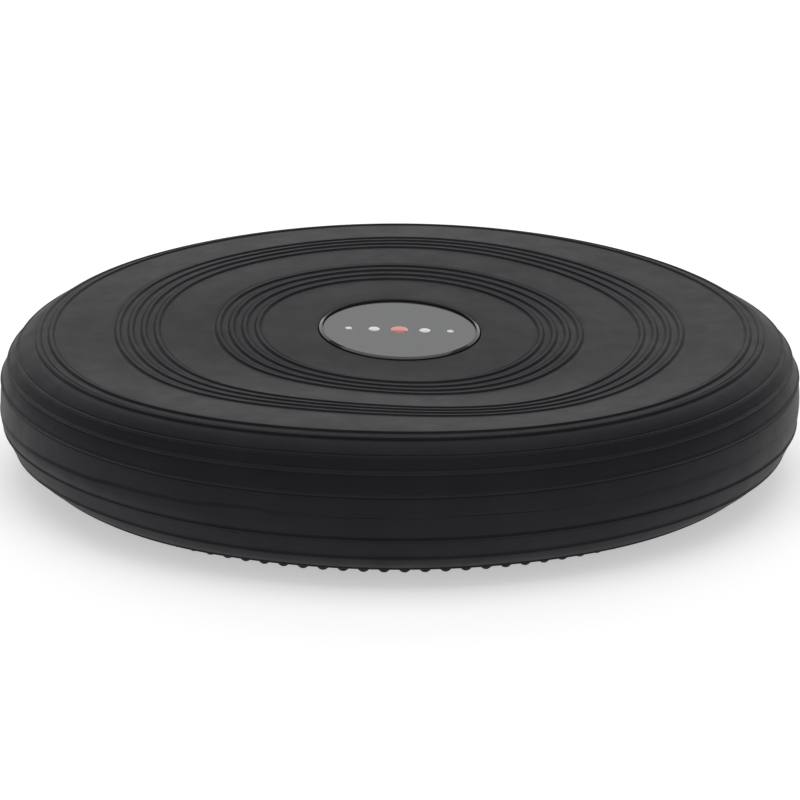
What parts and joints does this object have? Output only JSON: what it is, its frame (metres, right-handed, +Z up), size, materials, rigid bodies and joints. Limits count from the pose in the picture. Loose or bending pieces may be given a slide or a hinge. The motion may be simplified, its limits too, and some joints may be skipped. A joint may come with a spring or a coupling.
{
  "type": "balance pad",
  "caption": "Round inflatable balance pad with a ribbed top and sidewall, a glossy centre badge, massage nubs underneath and a stoppered air valve at the back.",
  "frame": {"origin": "on the floor plane under the middle of the disc, at the tips of the massage nubs", "axes": "+Z up along the disc's axis of symmetry; +Y towards the back, along the valve's axis; -Y faces the viewer; +X to the viewer's right"},
  "size_m": [0.33, 0.33, 0.061],
  "materials": {
    "upper_vinyl": "matte moulded soft vinyl, black",
    "lower_vinyl": "matte moulded soft vinyl, black",
    "badge_gloss": "polished black moulded plastic",
    "badge_print": null,
    "adhesive_pad": "white double-sided foam tape",
    "valve_rubber": "satin black moulded rubber",
    "seal_rubber": "dark grey soft rubber",
    "plug_rubber": "satin black moulded rubber"
  },
  "bodies": {
    "pad": {"upper_shell": "upper_vinyl", "lower_shell": "lower_vinyl", "badge_plate": "badge_gloss", "badge_face": "badge_print", "badge_adhesive": "adhesive_pad", "valve_body": "valve_rubber", "valve_seal": "seal_rubber"},
    "plug": {"valve_plug": "plug_rubber"}
  },
  "joints": [
    {"name": "plug_pull", "type": "slide", "parent": "pad", "child": "plug", "axis": [0, 1, 0], "range_m": [0, 0.012]}
  ]
}
